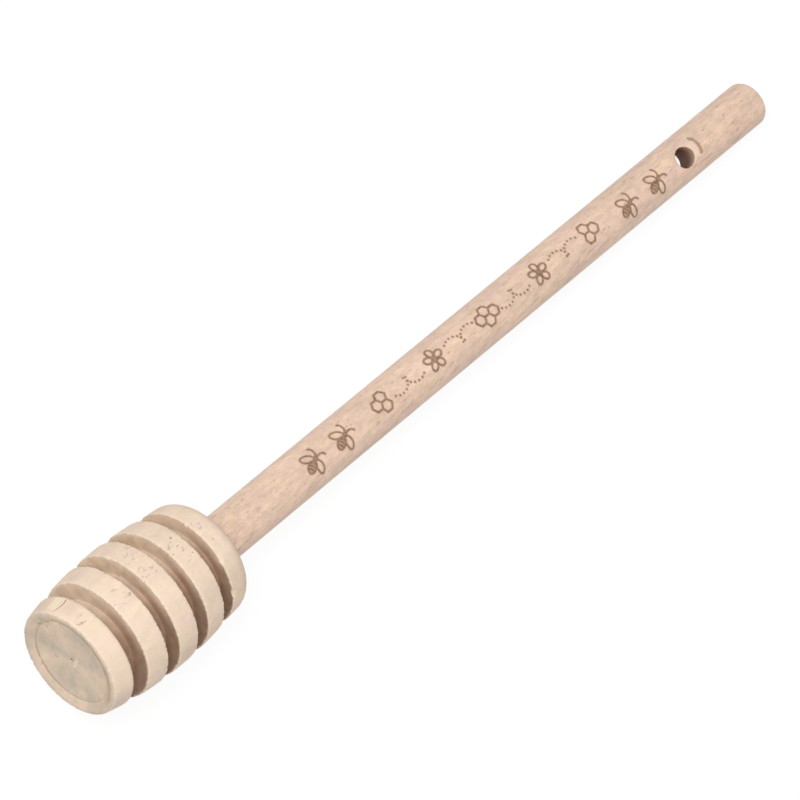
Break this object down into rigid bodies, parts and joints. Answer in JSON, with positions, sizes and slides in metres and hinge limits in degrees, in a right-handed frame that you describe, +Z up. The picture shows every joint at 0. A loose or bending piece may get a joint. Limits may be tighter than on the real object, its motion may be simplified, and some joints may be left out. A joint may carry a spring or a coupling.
{
  "type": "honey dipper",
  "caption": "Turned wooden honey dipper: a grooved barrel head glued on a long round handle with a slanted hang hole near its end.",
  "frame": {"origin": "centre of the bounding box at its base, on the table that the dipper lies on", "axes": "+X along the dipper from the head's front rim to the handle's end, seen from above; +Z up from the table; the handle's end lies lower, so the dipper's own axis points down by 2.6 degrees towards +X"},
  "size_m": [0.2034, 0.0262, 0.0263],
  "materials": {
    "head_wood": "pale, bare, finely turned wood with end grain in the dish",
    "handle_wood": "pinkish beige, bare, sanded dowel wood with short dark flecks",
    "dried_glue": "dried wood glue, hidden in the joint"
  },
  "bodies": {
    "root": {"dipper_head": "head_wood", "handle": "handle_wood", "glue_bond": "dried_glue"}
  },
  "joints": []
}
